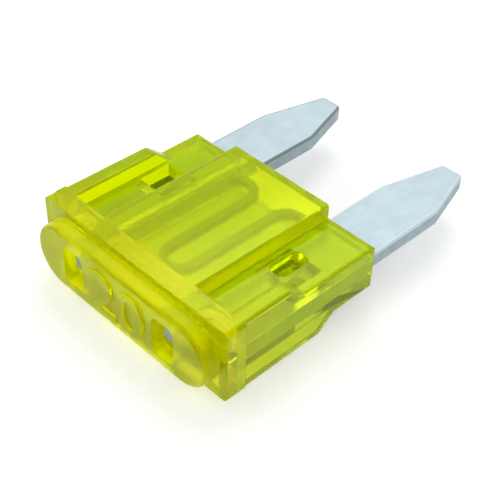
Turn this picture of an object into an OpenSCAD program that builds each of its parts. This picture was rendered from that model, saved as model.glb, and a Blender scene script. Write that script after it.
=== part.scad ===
// Small plug-in blade fuse for vehicles: a clear moulded housing staked over one stamped metal strip.
// It lies on its broad face. X runs across the two blades, Y from the head to the blade tips, and
// Z up from the surface it lies on. Lengths along Y are counted from the head's end face.

/* [Blades] */
// Distance between the centre lines of the two blades
blade_pitch = 7.35; // [7.1:0.05:7.6]
// Width of each blade
blade_w = 2.8; // [2.6:0.1:3]
// Thickness of the sheet that the strip is stamped from
blade_t = 0.75; // [0.6:0.05:0.9]
// Length of each blade outside the housing
blade_out = 7.25; // [6.25:0.25:8.25]
// Width of a blade's blunt tip
tip_w = 1.1; // [0.8:0.1:1.4]
// Radius of the two corners of a blade's tip
tip_r = 0.25; // [0.1:0.05:0.3]
// Length of the taper on the left edge of each blade
taper_left = 3.3; // [2.7:0.1:3.9]
// Length of the taper on the right edge of each blade
taper_right = 2.85; // [2.25:0.1:3.45]

/* [Strip inside the housing] */
// Distance from the head's end face to the shoulder of each blade
blade_top = 1.15; // [1.05:0.05:1.35]
// Radius of the outer corner of a blade's shoulder
shoulder_r = 0.3; // [0.1:0.05:0.5]
// Width of the test post that carries on from each blade
post_w = 0.9; // [0.8:0.05:1]
// Length of a test post above its blade's shoulder
post_len = 1.45; // [1.3:0.05:1.6]
// Radius of the fillet between a test post and its blade's shoulder
post_fillet = 0.55; // [0.3:0.05:0.6]
// Width of the fusible link
link_w = 0.37; // [0.31:0.02:0.43]
// Thickness of the fusible link
link_t = 0.35; // [0.25:0.05:0.45]
// Clear width between the two legs of the link
link_gap = 1.12; // [0.96:0.04:1.28]
// Distance from the head's end face to the top of the link's arch
link_top = 1.7; // [1.6:0.1:2.4]
// Width of the link at the top of its arch, where it melts
link_neck = 0.26; // [0.22:0.02:0.3]
// Distance from the link's feet to the blade end of the housing
link_inset = 0.16; // [0.1:0.02:0.3]

/* [Housing] */
// Length of the housing without its end pad
body_len = 8.25; // [7.75:0.25:8.75]
// Thickness of the housing over the head, rims and centre panel
body_t = 3.6; // [3.4:0.1:3.8]
// Plastic between the edge of a blade and the housing's side, at the head
side_wall = 0.25; // [0.2:0.01:0.32]
// Plastic over each broad face of a blade
cover_wall = 0.7; // [0.6:0.02:0.8]
// Narrowing of each side from the head to the blade end, for release from the mould
side_draft = 0.05; // [0:0.01:0.08]
// Length of the head block
head_len = 1; // [0.8:0.05:1]
// Step from the body's side out to the head's side
head_step = 0.1; // [0.05:0.01:0.2]
// Radius of the head block's four long edges
head_r = 0.25; // [0.1:0.05:0.4]
// Width of the raised centre panel
panel_w = 5.6; // [5.3:0.1:5.7]
// Width of the rim along each side
rim_w = 0.78; // [0.6:0.04:0.9]
// Distance from the head's end face to the end of a long rim
rim_long = 5.2; // [4.8:0.1:5.6]
// Distance from the head's end face to the end of a short rim
rim_short = 3.35; // [3:0.05:3.7]
// Length of the slope at the end of each rim
rim_slope = 0.85; // [0.5:0.05:1.1]

/* [End pad] */
// Width of the pad on the head's end face
pad_w = 10.2; // [9.6:0.1:10.4]
// Height of the pad, which has half-round ends
pad_h = 2.95; // [2.75:0.05:3.1]
// Distance that the pad stands out of the head
pad_out = 0.78; // [0.66:0.04:0.94]
// Radius of the pad's front edge
pad_edge_r = 0.22; // [0.1:0.02:0.3]
// Width of each test window
window_w = 1.2; // [1.1:0.05:1.4]
// Height of each test window
window_h = 1.8; // [1.5:0.1:2.1]
// Depth of each test window
window_deep = 0.62; // [0.54:0.02:0.7]
// Corner radius of a test window
window_r = 0.3; // [0.2:0.05:0.45]

/* [Staking] */
// Distance from the head's end face to the middle of the stakes
stake_y = 4.95; // [4.8:0.05:5.1]
// Width of the plastic stake that fills each blade's hole
stake_w = 1.76; // [1.7:0.02:1.8]
// Length of that stake
stake_len = 1.96; // [1.9:0.02:2.1]
// Width of the square recess over one end of a stake
recess_w = 1.46; // [1.3:0.02:1.5]
// Length of the square recess
recess_len = 1.62; // [1.5:0.02:1.7]
// Depth of the square recess below the shoulder
recess_deep = 1; // [0.8:0.05:1.15]
// Width of the punched dent over the other end of a stake
dent_w = 0.85; // [0.7:0.05:1]
// Length of the punched dent
dent_len = 1.6; // [1.4:0.05:1.7]
// Depth of the punched dent below the shoulder
dent_deep = 0.7; // [0.5:0.05:0.75]

/* [Cavity] */
// Plastic over the link's cavity on each broad face
panel_wall = 1; // [0.9:0.05:1.05]
// Plastic between the link's cavity and the panel's side
panel_side = 0.35; // [0.25:0.05:0.5]
// Distance from the head's end face to the end of the link's cavity
cavity_top = 1.25; // [1.2:0.05:1.4]
// Clearance between the strip and the plastic on every side
fit_gap = 0.03; // [0.02:0.01:0.05]

/* [Hidden] */
$fn = 48;
clear_cut = 1;

body_w = blade_pitch + blade_w + 2 * (fit_gap + side_wall);
head_w = body_w + 2 * head_step;
shoulder_t = blade_t + 2 * (fit_gap + cover_wall);
strip_len = body_len + blade_out;
inner_edge = (blade_pitch - blade_w) / 2;
outer_edge = (blade_pitch + blade_w) / 2;
leg_in = link_gap / 2;
leg_out = leg_in + link_w;
bend_r = (inner_edge - leg_out) / 2;
bend_x = leg_out + bend_r;
feet_y = body_len - link_inset;
bend_y = feet_y - link_w - bend_r;
arch_y = link_top + leg_out;
post_x = inner_edge + post_w / 2;
post_end = blade_top - post_len;
mid_y = (strip_len - pad_out) / 2;

// A rectangle with round corners, centred on the origin
module round_rect(w, h, r) {
    square([w - 2 * r, h], center = true);
    square([w, h - 2 * r], center = true);
    for (sx = [-1, 1], sy = [-1, 1])
        translate([sx * (w / 2 - r), sy * (h / 2 - r)]) circle(r);
}

// Sets a plan outline at its place and gives it an equal height above and below the middle plane
module plate(t) {
    linear_extrude(t, center = true) children();
}

// Repeats its children on the other broad face, turned half round about the middle line
module both_faces() {
    children();
    rotate([0, 180, 0]) children();
}

// Repeats its children at the left, as a mirror image
module both_sides() {
    children();
    mirror([1, 0, 0]) children();
}

// Extrudes a side outline, drawn as distance from the head against height, from x0 to x1
module across(x0, x1) {
    translate([x0, 0, 0])
        rotate([90, 0, 90])
            linear_extrude(x1 - x0) children();
}

// Outline of the right blade's shoulder and test post; grow widens it for the slot in the housing
module blade_head(grow = 0) {
    r = shoulder_r + grow;
    x0 = inner_edge - grow;
    x1 = outer_edge + grow;
    y0 = blade_top - grow;
    post_x1 = inner_edge + post_w + grow;
    fillet_r = post_fillet - grow;
    translate([x0, y0]) square([x1 - x0 - r, body_len - y0]);
    translate([x0, y0 + r]) square([x1 - x0, body_len - y0 - r]);
    translate([x1 - r, y0 + r]) circle(r);
    translate([x0, post_end - grow]) square([post_x1 - x0, y0 - post_end + 2 * grow]);
    difference() {
        translate([post_x1 - grow, y0 - fillet_r]) square([fillet_r + grow, fillet_r + grow]);
        translate([post_x1 + fillet_r, y0 - fillet_r]) circle(fillet_r);
    }
}

// One half of a blade outside the housing, from its centre line to an edge whose taper has this length
module blade_half(taper) {
    slant = atan2((blade_w - tip_w) / 2, taper);
    cut = tip_r / tan((90 + slant) / 2);
    polygon([
        [0, body_len - clear_cut],
        [blade_w / 2, body_len - clear_cut],
        [blade_w / 2, strip_len - taper],
        [tip_w / 2 + cut * sin(slant), strip_len - cut * cos(slant)],
        [tip_w / 2 - cut, strip_len],
        [0, strip_len]
    ]);
    translate([tip_w / 2 - cut, strip_len - tip_r]) circle(tip_r);
}

// Outline of one blade outside the housing, about its own centre line
module blade_tip() {
    blade_half(taper_right);
    mirror([1, 0, 0]) blade_half(taper_left);
}

// Outline of the foot and leg of the link on the right, which bends round from the blade
module link_leg() {
    translate([leg_in, arch_y]) square([link_w, bend_y - arch_y]);
    translate([bend_x, feet_y - link_w]) square([inner_edge - bend_x + link_w, link_w]);
    intersection() {
        difference() {
            translate([bend_x, bend_y]) circle(bend_r + link_w);
            translate([bend_x, bend_y]) circle(bend_r);
        }
        translate([leg_in, bend_y]) square([bend_x - leg_in, bend_r + link_w]);
    }
}

// Outline of the arch that joins the two legs, thinnest at its top
module link_arch() {
    intersection() {
        difference() {
            translate([0, arch_y]) circle(leg_out);
            translate([0, arch_y + link_neck - link_w]) circle(leg_in);
            translate([-leg_in, arch_y + link_neck - link_w]) square([2 * leg_in, leg_out]);
        }
        translate([-leg_out, link_top]) square([2 * leg_out, leg_out]);
    }
}

// The right blade's corner that rounds into the foot of the link
module bend_corner() {
    difference() {
        translate([bend_x, bend_y]) square([bend_r, bend_r + link_w / 2]);
        translate([bend_x, bend_y]) circle(bend_r);
    }
}

// One stamped strip: two blades, their test posts and the link between them
module fuse_strip() {
    color([0.72, 0.77, 0.8])
    translate([0, -mid_y, body_t / 2]) {
        difference() {
            plate(blade_t) {
                both_sides() blade_head();
                for (side = [-1, 1])
                    translate([side * blade_pitch / 2, 0]) blade_tip();
            }
            both_sides()
                translate([blade_pitch / 2, stake_y, 0])
                    plate(blade_t + clear_cut)
                        square([stake_w + 2 * fit_gap, stake_len + 2 * fit_gap], center = true);
        }
        plate(link_t) {
            both_sides() {
                link_leg();
                bend_corner();
            }
            link_arch();
        }
    }
}

// Outline of the body seen from above, narrower at the blade end
module body_plan() {
    polygon([
        [-body_w / 2, 0],
        [body_w / 2, 0],
        [body_w / 2 - side_draft, body_len],
        [-body_w / 2 + side_draft, body_len]
    ]);
}

// Side outline of a rim on the upper face, with the slope at its end
module rim_side(end) {
    polygon([
        [head_len / 2, 0],
        [head_len / 2, body_t / 2],
        [end, body_t / 2],
        [end + rim_slope, shoulder_t / 2],
        [end + rim_slope, 0]
    ]);
}

// The two rims of the upper face: long on the left, short on the right
module rims() {
    intersection() {
        union() {
            across(-body_w / 2, rim_w - body_w / 2) rim_side(rim_long);
            across(body_w / 2 - rim_w, body_w / 2) rim_side(rim_short);
        }
        plate(body_t + clear_cut) body_plan();
    }
}

// Head block with round long edges
module head() {
    translate([0, head_len, 0])
        rotate([90, 0, 0])
            linear_extrude(head_len) round_rect(head_w, body_t, head_r);
}

// Profile of the pad from its middle plane outwards: height against distance from the head
module pad_profile() {
    reach = pad_h / 2;
    square([reach - pad_edge_r, pad_out]);
    square([reach, pad_out - pad_edge_r]);
    translate([reach - pad_edge_r, pad_out - pad_edge_r]) circle(pad_edge_r);
}

// Pad with half-round ends and a round front edge
module pad() {
    end_x = (pad_w - pad_h) / 2;
    rotate([90, 0, 0]) {
        for (side = [-1, 1])
            translate([side * end_x, 0, 0]) rotate_extrude() pad_profile();
        translate([-end_x, 0, 0])
            rotate([90, 0, 90])
                linear_extrude(2 * end_x) both_sides() pad_profile();
    }
}

// The slot that the strip's blades and test posts slide into, open at the blade end
module blade_slot() {
    plate(blade_t + 2 * fit_gap) {
        blade_head(fit_gap);
        translate([inner_edge - fit_gap, body_len - clear_cut])
            square([blade_w + 2 * fit_gap, 2 * clear_cut]);
    }
}

// The room round the link, open at the blade end
module link_cavity() {
    half_w = panel_w / 2 - panel_side;
    translate([-half_w, cavity_top, panel_wall - body_t / 2])
        cube([2 * half_w, body_len - cavity_top + clear_cut, body_t - 2 * panel_wall]);
}

// A test window over the right blade's post
module test_window() {
    translate([post_x, window_deep - pad_out, 0])
        rotate([90, 0, 0])
            linear_extrude(window_deep + clear_cut) round_rect(window_w, window_h, window_r);
}

// Plastic pressed through the hole in the right blade
module stake() {
    translate([blade_pitch / 2, stake_y, 0])
        plate(shoulder_t - cover_wall) square([stake_w, stake_len], center = true);
}

// Square recess over the left stake, in the upper face
module recess() {
    translate([-blade_pitch / 2, stake_y, shoulder_t / 2 - recess_deep])
        linear_extrude(recess_deep + clear_cut) square([recess_w, recess_len], center = true);
}

// Punched dent over the right stake, in the upper face
module dent() {
    translate([blade_pitch / 2, stake_y, shoulder_t / 2 - dent_deep])
        linear_extrude(dent_deep + clear_cut)
            round_rect(dent_w, dent_len, dent_w / 3);
}

// One moulding of clear plastic: head, end pad, centre panel, shoulders and rims
module housing() {
    color([0.8, 0.86, 0.1, 0.75])
    translate([0, -mid_y, body_t / 2])
    difference() {
        union() {
            head();
            pad();
            plate(shoulder_t) body_plan();
            translate([0, body_len / 2, 0]) cube([panel_w, body_len, body_t], center = true);
            both_faces() rims();
        }
        difference() {
            union() {
                both_sides() blade_slot();
                link_cavity();
            }
            both_sides() stake();
        }
        both_sides() test_window();
        both_faces() {
            recess();
            dent();
        }
    }
}

housing();
fuse_strip();
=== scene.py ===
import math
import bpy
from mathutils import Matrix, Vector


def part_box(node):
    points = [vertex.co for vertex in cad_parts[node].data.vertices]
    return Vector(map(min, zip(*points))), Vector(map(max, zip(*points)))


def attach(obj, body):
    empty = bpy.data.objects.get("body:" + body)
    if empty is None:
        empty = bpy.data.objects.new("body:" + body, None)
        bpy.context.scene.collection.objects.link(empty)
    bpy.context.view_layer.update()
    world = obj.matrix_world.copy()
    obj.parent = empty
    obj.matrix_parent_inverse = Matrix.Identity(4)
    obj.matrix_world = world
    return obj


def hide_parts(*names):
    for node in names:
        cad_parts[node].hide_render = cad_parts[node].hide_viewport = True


bl_info = {
    "name": "Blade Fuse",
    "version": (1, 0, 0),
    "blender": (4, 5, 0),
    "location": "View3D > Sidebar > Blade Fuse",
    "description": "Dresses a small plug-in blade fuse: clear moulded housing, stamped strip and studio stage",
    "category": "Object",
}

import bmesh
import bpy
from mathutils import Matrix, Vector
from mathutils.bvhtree import BVHTree
from mathutils.geometry import intersect_point_line

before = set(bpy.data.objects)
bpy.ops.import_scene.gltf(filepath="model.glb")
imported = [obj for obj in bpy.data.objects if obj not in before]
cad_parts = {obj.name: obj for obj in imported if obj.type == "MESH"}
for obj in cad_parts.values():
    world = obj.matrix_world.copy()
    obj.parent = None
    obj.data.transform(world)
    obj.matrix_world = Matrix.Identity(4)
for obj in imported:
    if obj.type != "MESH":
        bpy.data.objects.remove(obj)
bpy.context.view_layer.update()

MM = 0.001
# How far the end pad stands out of the head block
PAD_OUT = 0.78 * MM
# How far to each side only the link's metal lies, and how softly its painted shade ends there
LINK_REACH = 2.25 * MM
LINK_BLEND = 0.15 * MM
# Depth that the digits' solid goes into the pad, and that the blades' rounding goes into the housing
DIGIT_SINK = 0.12 * MM
ROUNDING_SINK = 0.3 * MM
# Upright part of a face's normal, above which it counts as a broad face and below which as a side
BROAD = 0.9
SIDE = 0.2
# The same for a broad face without its roundings
FLAT = 0.97
# A length in millimetres that is smaller than any detail
HAIR = 0.001
# Turns in degrees: faces closer than the first are merged, edges sharper than the second are rounded,
# wide rounding follows bends up to the third, and shading is smooth up to the fourth
MERGE_TURN = 1.5
SHARP_TURN = 36
BEND_TURN = 40
SMOOTH_TURN = 40
# How many times its width a wide rounding needs as room on its faces
ROOM_NEEDED = 3
# How far the floor lies below the fuse
FLOOR_GAP = 0.03 * MM
# Places of the strip's materials in its slots
ROLLED, SHEARED, ROUNDED = range(3)

housing_low, housing_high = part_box("housing")
middle_z = (housing_low.z + housing_high.z) / 2
head_face_y = housing_low.y + PAD_OUT


class HousingSettings(bpy.types.PropertyGroup):
    """Sizes and finish of the clear moulding."""

    edge_round: bpy.props.FloatProperty(
        name="Edge Rounding", description="Width of the rounding on the moulding's main edges",
        default=0.15 * MM, min=0.0, subtype="DISTANCE", unit="LENGTH")
    fine_round: bpy.props.FloatProperty(
        name="Fine Rounding", description="Width of the rounding on the edges of pockets and narrow steps",
        default=0.035 * MM, min=0.0, subtype="DISTANCE", unit="LENGTH")
    head_tint: bpy.props.FloatVectorProperty(
        name="Head Tint", description="Tint that light takes as it enters and leaves the plastic at the head",
        default=(0.94, 1.0, 0.0), size=3, min=0.0, max=1.0, subtype="COLOR")
    rear_tint: bpy.props.FloatVectorProperty(
        name="Rear Tint", description="Greener tint of the thinner plastic beside the blades",
        default=(0.84, 1.0, 0.0), size=3, min=0.0, max=1.0, subtype="COLOR")
    head_depth: bpy.props.FloatProperty(
        name="Head Depth", description="Distance over which the head's tint gives way to the rear's",
        default=3.5 * MM, min=0.0, subtype="DISTANCE", unit="LENGTH")
    flow_share: bpy.props.FloatProperty(
        name="Flow Marks", description="How far the tint wanders between the two where the plastic flowed",
        default=0.9, min=0.0)
    depth_colour: bpy.props.FloatVectorProperty(
        name="Depth Colour", description="Colour that light keeps as it goes deeper into the plastic",
        default=(0.99, 0.935, 0.02), size=3, min=0.0, max=1.0, subtype="COLOR")
    depth_density: bpy.props.FloatProperty(
        name="Depth Density", description="How quickly the plastic takes up light, for each metre",
        default=400.0, min=0.0)
    clearness: bpy.props.FloatProperty(
        name="Clearness", description="Share of the light that passes through and isn't scattered inside",
        default=0.79, min=0.0, max=1.0, subtype="FACTOR")
    haze: bpy.props.FloatProperty(
        name="Haze", description="Roughness of the moulded surface",
        default=0.13, min=0.0, max=1.0, subtype="FACTOR")
    pad_haze: bpy.props.FloatProperty(
        name="Pad Haze", description="Roughness of the end pad, which the mould leaves matt",
        default=0.3, min=0.0, max=1.0, subtype="FACTOR")
    ripple: bpy.props.FloatProperty(
        name="Ripple", description="Height of the slow ripples that the mould leaves",
        default=0.02 * MM, min=0.0, subtype="DISTANCE", unit="LENGTH")
    grain: bpy.props.FloatProperty(
        name="Grain", description="Height of the fine grain that the mould leaves",
        default=0.006 * MM, min=0.0, subtype="DISTANCE", unit="LENGTH")
    digit_height: bpy.props.FloatProperty(
        name="Digit Height", description="Height of the rating's digits on the end pad",
        default=2.15 * MM, min=0.0, subtype="DISTANCE", unit="LENGTH")
    digits_width: bpy.props.FloatProperty(
        name="Digits Width", description="Width of the two digits together",
        default=3.3 * MM, min=0.0, subtype="DISTANCE", unit="LENGTH")
    digit_weight: bpy.props.FloatProperty(
        name="Digit Weight", description="Distance that the digits' strokes are fattened on each side",
        default=0.04 * MM, min=0.0, subtype="DISTANCE", unit="LENGTH")
    digit_relief: bpy.props.FloatProperty(
        name="Digit Relief", description="Distance that the digits stand out of the end pad",
        default=0.1 * MM, min=0.0, subtype="DISTANCE", unit="LENGTH")


class StripSettings(bpy.types.PropertyGroup):
    """Finish of the stamped strip."""

    edge_round: bpy.props.FloatProperty(
        name="Edge Rounding", description="Width of the rounding that stamping leaves along the blades",
        default=0.11 * MM, min=0.0, subtype="DISTANCE", unit="LENGTH")
    face_colour: bpy.props.FloatVectorProperty(
        name="Face Colour", description="Colour of the rolled faces",
        default=(0.44, 0.54, 0.585), size=3, min=0.0, max=1.0, subtype="COLOR")
    # Painted light on the roundings: painted shade along the left blade and a painted highlight along the
    # right blade
    left_roll_painted_shade_colour: bpy.props.FloatVectorProperty(
        name="Left Rounding Painted Shade", description="Darker colour of the roundings along the left blade",
        default=(0.2, 0.26, 0.27), size=3, min=0.0, max=1.0, subtype="COLOR")
    right_roll_painted_highlight_colour: bpy.props.FloatVectorProperty(
        name="Right Rounding Painted Highlight", description="Colour of the roundings along the right blade",
        default=(0.6, 0.72, 0.77), size=3, min=0.0, max=1.0, subtype="COLOR")
    edge_colour: bpy.props.FloatVectorProperty(
        name="Sheared Edge Colour", description="Colour of the sheared edges",
        default=(0.39, 0.49, 0.535), size=3, min=0.0, max=1.0, subtype="COLOR")
    # Painted shade: the link between the blades is darkened to this share of the blades' colour
    link_painted_shade_share: bpy.props.FloatProperty(
        name="Link Painted Shade", description="Brightness of the fusible link, as a share of the blades' brightness",
        default=0.5, min=0.0, max=1.0, subtype="FACTOR")
    mottle_size: bpy.props.FloatProperty(
        name="Mottle Size", description="Size of the soft blotches on the rolled faces",
        default=0.9 * MM, min=0.00001, subtype="DISTANCE", unit="LENGTH")


class StageSettings(bpy.types.PropertyGroup):
    """Floor, lamps and camera."""

    floor_colour: bpy.props.FloatVectorProperty(
        name="Floor Colour", description="Colour of the pale floor",
        default=(0.8, 0.8, 0.8), size=3, min=0.0, max=1.0, subtype="COLOR")
    floor_glow: bpy.props.FloatProperty(
        name="Floor Glow", description="Strength that whitens the floor where it is seen or mirrored",
        default=0.41, min=0.0)
    camera_place: bpy.props.FloatVectorProperty(
        name="Camera Place", description="Where the camera stands",
        default=(0.0250004, -0.0262799, 0.0315082), size=3, precision=5, subtype="TRANSLATION", unit="LENGTH")
    camera_turn: bpy.props.FloatVectorProperty(
        name="Camera Turn", description="How the camera is turned",
        default=(math.radians(48.8042), math.radians(-1.5812), math.radians(45.9128)), size=3, subtype="EULER")
    camera_lens: bpy.props.FloatProperty(
        name="Focal Length", description="Focal length for a frame 36 mm wide, in millimetres",
        default=78.97, min=1.0)
    sky_fill: bpy.props.FloatProperty(
        name="Sky Fill", description="Strength of the even light from all round",
        default=0.55, min=0.0)
    key_power: bpy.props.FloatProperty(
        name="Key Lamp Power", description="Power of the large lamp above and behind, in watts",
        default=0.16, min=0.0)
    side_power: bpy.props.FloatProperty(
        name="Side Lamp Power", description="Power of the lamp at the left, in watts",
        default=0.05, min=0.0)
    front_power: bpy.props.FloatProperty(
        name="Front Lamp Power", description="Power of the lamp in front of the end pad, in watts",
        default=0.1, min=0.0)


def deselect_all():
    if bpy.context.object and bpy.context.object.mode != "OBJECT":
        bpy.ops.object.mode_set(mode="OBJECT")
    bpy.ops.object.select_all(action="DESELECT")


def make_active(piece):
    deselect_all()
    piece.select_set(True)
    bpy.context.view_layer.objects.active = piece


def apply_modifiers(piece):
    make_active(piece)
    for modifier in list(piece.modifiers):
        bpy.ops.object.modifier_apply(modifier=modifier.name)


def edit_all(piece):
    make_active(piece)
    bpy.ops.object.mode_set(mode="EDIT")
    bpy.ops.mesh.select_all(action="SELECT")


def copy_of_node(node, name):
    """A merged copy of a CAD node, in millimetres while it is worked on."""
    deselect_all()
    piece = bpy.data.objects.new(name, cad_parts[node].data.copy())
    bpy.context.scene.collection.objects.link(piece)
    piece.data.name = name
    piece.data.materials.clear()
    piece.data.transform(Matrix.Scale(1 / MM, 4))
    make_active(piece)
    bpy.ops.mesh.customdata_custom_splitnormals_clear()
    edit_all(piece)
    bpy.ops.mesh.remove_doubles(threshold=2 * HAIR)
    bpy.ops.mesh.dissolve_limited(angle_limit=math.radians(MERGE_TURN))
    bpy.ops.mesh.normals_make_consistent(inside=False)
    bpy.ops.object.mode_set(mode="OBJECT")
    return piece


def room_beside(edge):
    """Smallest distance from an edge to the edges of its faces that don't touch it."""
    ends = set(edge.verts)
    samples = [edge.verts[0].co.lerp(edge.verts[1].co, part) for part in (0.2, 0.5, 0.8)]
    room = edge.calc_length()
    for face in edge.link_faces:
        for other in face.edges:
            if ends & set(other.verts):
                continue
            start, end = (corner.co for corner in other.verts)
            for sample in samples:
                nearest, part = intersect_point_line(sample, start, end)
                nearest = start.lerp(end, min(max(part, 0), 1))
                room = min(room, (sample - nearest).length)
    return room


def follow_bends(wide, sharp):
    """Adds the short edges that carry a wide one on round a corner."""
    ends = list(wide)
    while ends:
        edge = ends.pop()
        for corner in edge.verts:
            onward = corner.co - edge.other_vert(corner).co
            for other in corner.link_edges:
                if other in sharp and other not in wide and other.is_convex:
                    if onward.angle(other.other_vert(corner).co - corner.co) < math.radians(BEND_TURN):
                        wide.add(other)
                        ends.append(other)


def apply_rounding(piece, width):
    """Rounds each edge by its bevel weight times the width."""
    bevel = piece.modifiers.new("Rounding", "BEVEL")
    bevel.width = width
    bevel.segments = 3
    bevel.limit_method = "WEIGHT"
    bevel.use_clamp_overlap = False
    apply_modifiers(piece)


def round_blades(piece, width, from_y):
    """Cuts a stamping's faces across at from_y and rounds their outline beyond it."""
    edit_all(piece)
    bpy.ops.mesh.select_mode(type="EDGE")
    bpy.ops.mesh.bisect(plane_co=(0, from_y, 0), plane_no=(0, 1, 0))
    shape = bmesh.from_edit_mesh(piece.data)
    weight = shape.edges.layers.float.new("bevel_weight_edge")
    for edge in shape.edges:
        near, far = sorted(corner.co.y for corner in edge.verts)
        uprights = sorted(abs(face.normal.z) for face in edge.link_faces)
        outside = near > from_y - HAIR and far > from_y + HAIR
        edge[weight] = 1 if outside and uprights[0] < SIDE and uprights[-1] > BROAD else 0
        edge.select_set(outside and uprights[0] > BROAD)
    bmesh.update_edit_mesh(piece.data)
    bpy.ops.mesh.dissolve_edges(use_verts=False, use_face_split=False)
    bpy.ops.object.mode_set(mode="OBJECT")
    apply_rounding(piece, width)


def draw_in(piece, form, width, fine_width):
    """Lays each corner that a rounding threw out of the form, or far into it, back on its surface."""
    most_out = 0.5 * fine_width
    most_in = 0.6 * width
    for corner in piece.data.vertices:
        nearest, normal, face, distance = form.find_nearest(corner.co)
        stands_out = any(
            (corner.co - near).dot(outward) > most_out
            for near, outward, face, reach in form.find_nearest_range(corner.co, distance + HAIR))
        if stands_out or distance > most_in:
            corner.co = nearest


def round_moulding(piece, width, fine_width):
    """Rounds each sharp edge, widely where both its faces have the room and finely elsewhere."""
    shape = bmesh.new()
    shape.from_mesh(piece.data)
    weight = shape.edges.layers.float.new("bevel_weight_edge")
    sharp = {edge for edge in shape.edges if edge.calc_face_angle(0) > math.radians(SHARP_TURN)}
    wide = {edge for edge in sharp if edge.is_convex and room_beside(edge) > ROOM_NEEDED * width}
    follow_bends(wide, sharp)
    for edge in sharp:
        edge[weight] = 1 if edge in wide else fine_width / width
    form = BVHTree.FromBMesh(shape)
    lowest = min(corner.co.z for corner in shape.verts)
    highest = max(corner.co.z for corner in shape.verts)
    shape.to_mesh(piece.data)
    shape.free()
    apply_rounding(piece, width)
    draw_in(piece, form, width, fine_width)
    for corner in piece.data.vertices:
        corner.co.z = min(max(corner.co.z, lowest), highest)
    edit_all(piece)
    bpy.ops.mesh.dissolve_degenerate(threshold=HAIR)
    bpy.ops.object.mode_set(mode="OBJECT")


def finish_mesh(piece):
    """Back to metres, smooth across the roundings and flat on the flats."""
    make_active(piece)
    piece.data.transform(Matrix.Scale(MM, 4))
    bpy.ops.object.shade_smooth_by_angle(angle=math.radians(SMOOTH_TURN))
    weights = piece.modifiers.new("Flat Faces", "WEIGHTED_NORMAL")
    weights.keep_sharp = True
    apply_modifiers(piece)


def new_material(name):
    material = bpy.data.materials.new(name)
    material.use_nodes = True
    nodes = material.node_tree.nodes
    return material, nodes, material.node_tree.links, nodes["Principled BSDF"]


def add_node(nodes, kind, place, **values):
    node = nodes.new(kind)
    node.location = place
    for key, value in values.items():
        setattr(node, key, value)
    return node


def add_noise(nodes, place, scale, detail):
    noise = add_node(nodes, "ShaderNodeTexNoise", place)
    noise.inputs["Scale"].default_value = scale
    noise.inputs["Detail"].default_value = detail
    return noise


def add_bump(nodes, place, strength, distance):
    bump = add_node(nodes, "ShaderNodeBump", place)
    bump.inputs["Strength"].default_value = strength
    bump.inputs["Distance"].default_value = distance
    return bump


def add_range(nodes, place, given, wanted):
    """A node that carries the given range of values over to the wanted one."""
    node = add_node(nodes, "ShaderNodeMapRange", place)
    for name, value in zip(("From Min", "From Max", "To Min", "To Max"), (*given, *wanted)):
        node.inputs[name].default_value = value
    return node


def add_ramp(nodes, place, *stops):
    """A colour ramp between two stops, each a position and a colour."""
    ramp = add_node(nodes, "ShaderNodeValToRGB", place)
    for element, (position, colour) in zip(ramp.color_ramp.elements, stops):
        element.position = position
        element.color = (*colour, 1)
    return ramp


def painted_shade_at_link(nodes, links, point, colour, settings):
    """The given colour with painted shade, darker on the narrow link between the two blades."""
    across = add_node(nodes, "ShaderNodeSeparateXYZ", (-500, 600))
    aside = add_node(nodes, "ShaderNodeMath", (-350, 600), operation="ABSOLUTE")
    share = add_range(nodes, (-200, 600), (LINK_REACH - LINK_BLEND, LINK_REACH), (settings.link_painted_shade_share, 1))
    shade = add_node(nodes, "ShaderNodeVectorMath", (-50, 400), operation="SCALE")
    links.new(point, across.inputs["Vector"])
    links.new(across.outputs["X"], aside.inputs[0])
    links.new(aside.outputs[0], share.inputs["Value"])
    links.new(colour, shade.inputs["Vector"])
    links.new(share.outputs["Result"], shade.inputs["Scale"])
    return shade.outputs["Vector"]


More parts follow.
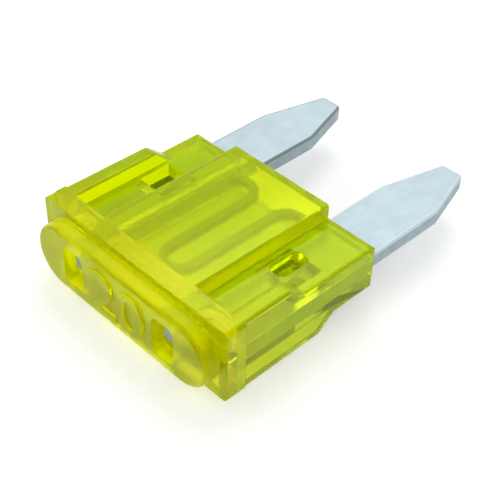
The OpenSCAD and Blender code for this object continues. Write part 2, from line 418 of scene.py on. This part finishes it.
def clear_plastic(settings):
    """Clear yellow plastic that is yellower at the head, with a matt pad, slow ripples and a fine grain."""
    material, nodes, links, surface = new_material("Clear Yellow Plastic")
    surface.inputs["IOR"].default_value = 1.45
    surface.inputs["Transmission Weight"].default_value = settings.clearness
    surface.inputs["Specular IOR Level"].default_value = 0.0
    surface.inputs["Specular Tint"].default_value = (0.9, 1.0, 0.0, 1)
    point = add_node(nodes, "ShaderNodeTexCoord", (-900, 0)).outputs["Object"]
    along = add_node(nodes, "ShaderNodeSeparateXYZ", (-650, 300))
    links.new(point, along.inputs["Vector"])

    ripples = add_noise(nodes, (-650, 0), 700, 2)
    grain = add_noise(nodes, (-650, -350), 7000, 3)
    texture = add_bump(nodes, (-450, -350), 0.35, settings.grain)
    relief = add_bump(nodes, (-250, -200), 0.5, settings.ripple)
    links.new(point, grain.inputs["Vector"])
    links.new(grain.outputs["Fac"], texture.inputs["Height"])
    links.new(texture.outputs["Normal"], relief.inputs["Normal"])
    links.new(point, ripples.inputs["Vector"])
    links.new(ripples.outputs["Fac"], relief.inputs["Height"])
    links.new(relief.outputs["Normal"], surface.inputs["Normal"])

    blend = 0.12 * MM
    matt = add_range(
        nodes, (-350, 300), (head_face_y - blend, head_face_y + blend), (settings.pad_haze, settings.haze))
    links.new(along.outputs["Y"], matt.inputs["Value"])
    links.new(matt.outputs["Result"], surface.inputs["Roughness"])

    flow = add_noise(nodes, (-650, 750), 450, 3)
    spread = settings.flow_share
    backward = add_range(
        nodes, (-450, 550), (head_face_y, head_face_y + settings.head_depth), (-spread / 2, 1 - spread / 2))
    wander = add_node(nodes, "ShaderNodeMath", (-250, 650), operation="MULTIPLY_ADD")
    wander.inputs[1].default_value = spread
    tone = add_ramp(nodes, (-50, 600), (0, settings.head_tint), (1, settings.rear_tint))
    links.new(point, flow.inputs["Vector"])
    links.new(along.outputs["Y"], backward.inputs["Value"])
    links.new(flow.outputs["Fac"], wander.inputs[0])
    links.new(backward.outputs["Result"], wander.inputs[2])
    links.new(wander.outputs[0], tone.inputs["Fac"])
    links.new(tone.outputs["Color"], surface.inputs["Base Color"])

    depth = add_node(nodes, "ShaderNodeVolumeAbsorption", (0, -500))
    depth.inputs["Color"].default_value = (*settings.depth_colour, 1)
    depth.inputs["Density"].default_value = settings.depth_density
    links.new(depth.outputs["Volume"], nodes["Material Output"].inputs["Volume"])
    return material


def streaked(nodes, links, point, scale):
    """Noise that is stretched by the given scale along each axis."""
    stretch = add_node(nodes, "ShaderNodeMapping", (-1050, -150))
    stretch.inputs["Scale"].default_value = scale
    streaks = add_noise(nodes, (-850, -150), 1, 3)
    links.new(point, stretch.inputs["Vector"])
    links.new(stretch.outputs["Vector"], streaks.inputs["Vector"])
    return streaks.outputs["Fac"]


def rolled_zinc(settings):
    """Pale rolled zinc with soft blotches and a faint rolling grain along the blades."""
    material, nodes, links, surface = new_material("Rolled Zinc")
    surface.inputs["Metallic"].default_value = 0.55
    point = add_node(nodes, "ShaderNodeTexCoord", (-1300, 0)).outputs["Object"]
    face = Vector(settings.face_colour)
    blotches = add_noise(nodes, (-1050, 200), 1 / settings.mottle_size, 4)
    tone = add_ramp(nodes, (-750, 250), (0.3, face * 0.93), (0.72, face * 1.05))
    links.new(point, blotches.inputs["Vector"])
    links.new(blotches.outputs["Fac"], tone.inputs["Fac"])
    # Painted shade darkens the narrow link between the blades
    colour = painted_shade_at_link(nodes, links, point, tone.outputs["Color"], settings)
    links.new(colour, surface.inputs["Base Color"])

    grain = streaked(nodes, links, point, (9000, 900, 9000))
    gloss = add_range(nodes, (-550, 0), (0, 1), (0.38, 0.62))
    relief = add_bump(nodes, (-350, -250), 0.35, 0.006 * MM)
    links.new(grain, gloss.inputs["Value"])
    links.new(gloss.outputs["Result"], surface.inputs["Roughness"])
    links.new(grain, relief.inputs["Height"])
    links.new(relief.outputs["Normal"], surface.inputs["Normal"])
    return material


def rounded_zinc_painted_light(settings):
    """The soft rounding that the punch leaves between a rolled face and a sheared edge, with painted shade
    along the left blade and a painted highlight along the right.
    """
    material, nodes, links, surface = new_material("Rounded Zinc Painted Light")
    surface.inputs["Metallic"].default_value = 0.5
    surface.inputs["Roughness"].default_value = 0.42
    point = add_node(nodes, "ShaderNodeTexCoord", (-1200, 0)).outputs["Object"]
    across = add_node(nodes, "ShaderNodeSeparateXYZ", (-1000, 0))
    # Painted light: the roundings go from painted shade on the left blade to a painted highlight on the right
    # blade
    side = add_range(nodes, (-800, 0), (-MM, MM), (0, 1))
    tone = add_ramp(nodes, (-550, 0), (0, settings.left_roll_painted_shade_colour), (1, settings.right_roll_painted_highlight_colour))
    links.new(point, across.inputs["Vector"])
    links.new(across.outputs["X"], side.inputs["Value"])
    links.new(side.outputs["Result"], tone.inputs["Fac"])
    links.new(tone.outputs["Color"], surface.inputs["Base Color"])
    return material


def sheared_zinc(settings):
    """Darker sheared edge with short streaks across the sheet."""
    material, nodes, links, surface = new_material("Sheared Zinc")
    surface.inputs["Metallic"].default_value = 0.5
    surface.inputs["Roughness"].default_value = 0.5
    point = add_node(nodes, "ShaderNodeTexCoord", (-1300, 0)).outputs["Object"]
    edge = Vector(settings.edge_colour)
    streaks = streaked(nodes, links, point, (1900, 1900, 900))
    tone = add_ramp(nodes, (-550, 150), (0.32, edge * 0.86), (0.7, edge * 1.1))
    relief = add_bump(nodes, (-350, -200), 0.5, 0.01 * MM)
    links.new(streaks, tone.inputs["Fac"])
    # Painted shade darkens the narrow link between the blades
    colour = painted_shade_at_link(nodes, links, point, tone.outputs["Color"], settings)
    links.new(colour, surface.inputs["Base Color"])
    links.new(streaks, relief.inputs["Height"])
    links.new(relief.outputs["Normal"], surface.inputs["Normal"])
    return material


def digits_for_pad(settings):
    """The rating's two digits as a raised solid on the end pad, in millimetres."""
    deselect_all()
    bpy.ops.object.text_add(location=(0, 0, 0))
    text = bpy.context.object
    text.data.body = "20"
    text.data.size = settings.digit_height / MM
    text.data.offset = settings.digit_weight / MM
    text.data.extrude = (settings.digit_relief + DIGIT_SINK) / MM / 2
    text.data.resolution_u = 6
    bpy.ops.object.convert(target="MESH")
    digits = bpy.context.object
    edit_all(digits)
    bpy.ops.mesh.remove_doubles(threshold=HAIR / 2)
    bpy.ops.mesh.normals_make_consistent(inside=False)
    bpy.ops.object.mode_set(mode="OBJECT")
    across = [corner.co.x for corner in digits.data.vertices]
    upward = [corner.co.y for corner in digits.data.vertices]
    centred = Matrix.Translation((
        -(min(across) + max(across)) / 2,
        -(min(upward) + max(upward)) / 2, 0))
    fitted = Matrix.Diagonal((
        settings.digits_width / MM / (max(across) - min(across)),
        settings.digit_height / MM / (max(upward) - min(upward)), 1, 1))
    upright = Matrix.Rotation(math.radians(90), 4, "X")
    middle_y = housing_low.y - (settings.digit_relief - DIGIT_SINK) / 2
    onto_pad = Matrix.Translation((0, middle_y / MM, middle_z / MM))
    digits.data.transform(onto_pad @ upright @ fitted @ centred)
    return digits


class FUSE_OT_housing(bpy.types.Operator):
    """Makes the clear moulded housing with its raised digits"""

    bl_idname = "fuse.housing"
    bl_label = "Clear Housing"

    def execute(self, context):
        settings = context.scene.fuse_housing
        piece = copy_of_node("housing", "clear_housing")
        round_moulding(piece, settings.edge_round / MM, settings.fine_round / MM)
        digits = digits_for_pad(settings)
        make_active(piece)
        join = piece.modifiers.new("Digits", "BOOLEAN")
        join.operation = "UNION"
        join.solver = "EXACT"
        join.object = digits
        apply_modifiers(piece)
        bpy.data.objects.remove(digits)
        finish_mesh(piece)
        piece.data.materials.append(clear_plastic(settings))
        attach(piece, "root")
        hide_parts("housing")
        return {"FINISHED"}


class FUSE_OT_strip(bpy.types.Operator):
    """Makes the stamped metal strip with its sheared edges"""

    bl_idname = "fuse.strip"
    bl_label = "Metal Strip"

    def execute(self, context):
        settings = context.scene.fuse_strip
        piece = copy_of_node("fuse_strip", "metal_strip")
        round_blades(piece, settings.edge_round / MM, (housing_high.y - ROUNDING_SINK) / MM)
        finish_mesh(piece)
        for material in (rolled_zinc(settings), sheared_zinc(settings), rounded_zinc_painted_light(settings)):
            piece.data.materials.append(material)
        for face in piece.data.polygons:
            upright = abs(face.normal.z)
            face.material_index = ROLLED if upright > FLAT else SHEARED if upright < SIDE else ROUNDED
        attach(piece, "root")
        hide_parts("fuse_strip")
        return {"FINISHED"}


class FUSE_OT_stage(bpy.types.Operator):
    """Sets the pale floor, the sky, the lamps and the camera"""

    bl_idname = "fuse.stage"
    bl_label = "Studio Stage"

    def seen_directly(self, nodes, links):
        """1 for rays that show the background itself, straight or by gloss or clear plastic."""
        path = add_node(nodes, "ShaderNodeLightPath", (-900, 300))
        first = add_node(nodes, "ShaderNodeMath", (-700, 300), operation="MAXIMUM")
        both = add_node(nodes, "ShaderNodeMath", (-500, 300), operation="MAXIMUM")
        links.new(path.outputs["Is Camera Ray"], first.inputs[0])
        links.new(path.outputs["Is Glossy Ray"], first.inputs[1])
        links.new(first.outputs[0], both.inputs[0])
        links.new(path.outputs["Is Transmission Ray"], both.inputs[1])
        return both.outputs[0]

    def sky(self, settings):
        world = bpy.context.scene.world or bpy.data.worlds.new("Studio")
        bpy.context.scene.world = world
        world.use_nodes = True
        nodes, links = world.node_tree.nodes, world.node_tree.links
        background = nodes["Background"]
        background.inputs["Color"].default_value = (1, 1, 1, 1)
        level = add_range(nodes, (-250, 200), (0, 1), (settings.sky_fill, 1))
        links.new(self.seen_directly(nodes, links), level.inputs["Value"])
        links.new(level.outputs["Result"], background.inputs["Strength"])

    def floor(self, settings):
        deselect_all()
        bpy.ops.mesh.primitive_plane_add(size=3, location=(0, 0, -FLOOR_GAP))
        floor = bpy.context.object
        floor.name = "pale_floor"
        bpy.ops.object.transform_apply(location=True, rotation=True, scale=True)
        material, nodes, links, surface = new_material("Pale Floor")
        surface.inputs["Base Color"].default_value = (*settings.floor_colour, 1)
        surface.inputs["Roughness"].default_value = 0.9
        surface.inputs["Specular IOR Level"].default_value = 0.0
        surface.inputs["Emission Color"].default_value = (1, 1, 1, 1)
        glow = add_node(nodes, "ShaderNodeMath", (-250, -200), operation="MULTIPLY")
        glow.inputs[1].default_value = settings.floor_glow
        links.new(self.seen_directly(nodes, links), glow.inputs[0])
        links.new(glow.outputs[0], surface.inputs["Emission Strength"])
        floor.data.materials.append(material)

    def lamp(self, name, place, size, power):
        """A round lamp that points at the fuse."""
        data = bpy.data.lights.new(name, "AREA")
        data.shape = "DISK"
        data.size = size
        data.energy = power
        lamp = bpy.data.objects.new(name, data)
        bpy.context.scene.collection.objects.link(lamp)
        lamp.location = place
        lamp.rotation_euler = (-Vector(place)).to_track_quat("-Z", "Y").to_euler()

    def camera(self, settings):
        data = bpy.data.cameras.new("Camera")
        data.lens = settings.camera_lens
        data.sensor_width = 36
        data.sensor_fit = "HORIZONTAL"
        data.clip_start = 0.001
        data.clip_end = 20
        camera = bpy.data.objects.new("Camera", data)
        bpy.context.scene.collection.objects.link(camera)
        camera.location = settings.camera_place
        camera.rotation_euler = settings.camera_turn
        bpy.context.scene.camera = camera

    def execute(self, context):
        settings = context.scene.fuse_stage
        context.scene.view_settings.view_transform = "Standard"
        self.sky(settings)
        self.floor(settings)
        self.lamp("key_lamp", (-0.08, 0.1, 0.2), 0.14, settings.key_power)
        self.lamp("side_lamp", (-0.16, -0.08, 0.08), 0.08, settings.side_power)
        self.lamp("front_lamp", (0.08, -0.2, 0.08), 0.1, settings.front_power)
        self.camera(settings)
        return {"FINISHED"}


class FUSE_PT_panel(bpy.types.Panel):
    """Lists the settings of each piece and the operator that makes it"""

    bl_label = "Blade Fuse"
    bl_idname = "FUSE_PT_panel"
    bl_space_type = "VIEW_3D"
    bl_region_type = "UI"
    bl_category = "Blade Fuse"

    def draw(self, context):
        for group, operator in (
            ("fuse_housing", "fuse.housing"),
            ("fuse_strip", "fuse.strip"),
            ("fuse_stage", "fuse.stage"),
        ):
            box = self.layout.box()
            settings = getattr(context.scene, group)
            for name in settings.__annotations__:
                box.prop(settings, name)
            box.operator(operator)


CLASSES = (
    HousingSettings,
    StripSettings,
    StageSettings,
    FUSE_OT_housing,
    FUSE_OT_strip,
    FUSE_OT_stage,
    FUSE_PT_panel,
)


def register():
    for item in CLASSES:
        bpy.utils.register_class(item)
    bpy.types.Scene.fuse_housing = bpy.props.PointerProperty(type=HousingSettings)
    bpy.types.Scene.fuse_strip = bpy.props.PointerProperty(type=StripSettings)
    bpy.types.Scene.fuse_stage = bpy.props.PointerProperty(type=StageSettings)


def unregister():
    del bpy.types.Scene.fuse_stage
    del bpy.types.Scene.fuse_strip
    del bpy.types.Scene.fuse_housing
    for item in reversed(CLASSES):
        bpy.utils.unregister_class(item)


def main():
    register()
    bpy.ops.fuse.housing()
    bpy.ops.fuse.strip()
    bpy.ops.fuse.stage()


if __name__ == "__main__":
    main()
